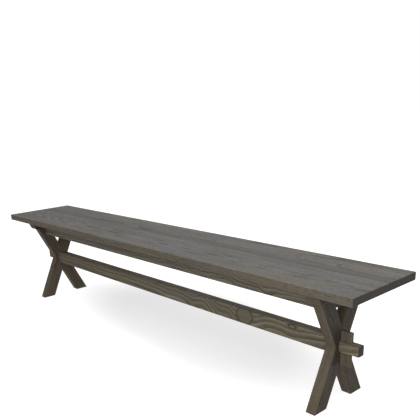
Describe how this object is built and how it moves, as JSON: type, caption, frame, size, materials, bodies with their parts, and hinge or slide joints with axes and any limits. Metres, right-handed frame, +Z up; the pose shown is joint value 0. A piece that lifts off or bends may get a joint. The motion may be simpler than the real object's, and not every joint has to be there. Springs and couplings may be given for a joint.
{
  "type": "wooden bench",
  "caption": "Long backless plank bench on X-shaped trestles, joined by a low stretcher whose through tenons are locked by loose upright wedges.",
  "frame": {"origin": "On the floor, under the middle of the seat.", "axes": "+X along the bench, +Y from its front to its back, +Z up."},
  "size_m": [2.2, 0.355, 0.456],
  "materials": {
    "seat_wood": "dark grey-brown stain, open grain, satin lacquer",
    "frame_wood": "dark grey-brown stain, open grain, satin lacquer",
    "wedge_wood": "dark grey-brown stain, open grain, satin lacquer",
    "dowel_wood": "bare beech",
    "screw_steel": "zinc plated"
  },
  "bodies": {
    "frame": {"seat_stave_front": "seat_wood", "seat_stave_middle": "seat_wood", "seat_stave_back": "seat_wood", "front_apron": "frame_wood", "back_apron": "frame_wood", "left_bearer": "frame_wood", "right_bearer": "frame_wood", "left_spacer_block": "frame_wood", "right_spacer_block": "frame_wood", "left_leg_front_foot": "frame_wood", "left_leg_back_foot": "frame_wood", "right_leg_front_foot": "frame_wood", "right_leg_back_foot": "frame_wood", "stretcher": "frame_wood", "seat_screw_1": "screw_steel", "seat_screw_2": "screw_steel", "seat_screw_3": "screw_steel", "seat_screw_4": "screw_steel", "seat_screw_5": "screw_steel", "seat_screw_6": "screw_steel", "seat_screw_7": "screw_steel", "seat_screw_8": "screw_steel", "apron_screw_1": "screw_steel", "apron_screw_2": "screw_steel", "apron_screw_3": "screw_steel", "apron_screw_4": "screw_steel", "apron_screw_5": "screw_steel", "apron_screw_6": "screw_steel", "leg_dowel_1": "dowel_wood", "leg_dowel_2": "dowel_wood", "leg_dowel_3": "dowel_wood", "leg_dowel_4": "dowel_wood", "leg_dowel_5": "dowel_wood", "leg_dowel_6": "dowel_wood", "leg_dowel_7": "dowel_wood", "leg_dowel_8": "dowel_wood", "apron_dowel_1": "dowel_wood", "apron_dowel_2": "dowel_wood", "apron_dowel_3": "dowel_wood", "apron_dowel_4": "dowel_wood", "apron_dowel_5": "dowel_wood", "apron_dowel_6": "dowel_wood", "apron_dowel_7": "dowel_wood", "apron_dowel_8": "dowel_wood"},
    "left_wedge": {"left_wedge": "wedge_wood"},
    "right_wedge": {"right_wedge": "wedge_wood"}
  },
  "joints": [
    {"name": "left_wedge_lift", "type": "slide", "parent": "frame", "child": "left_wedge", "axis": [0, 0, 1], "range_m": [0, 0.09]},
    {"name": "right_wedge_lift", "type": "slide", "parent": "frame", "child": "right_wedge", "axis": [0, 0, 1], "range_m": [0, 0.09]}
  ]
}
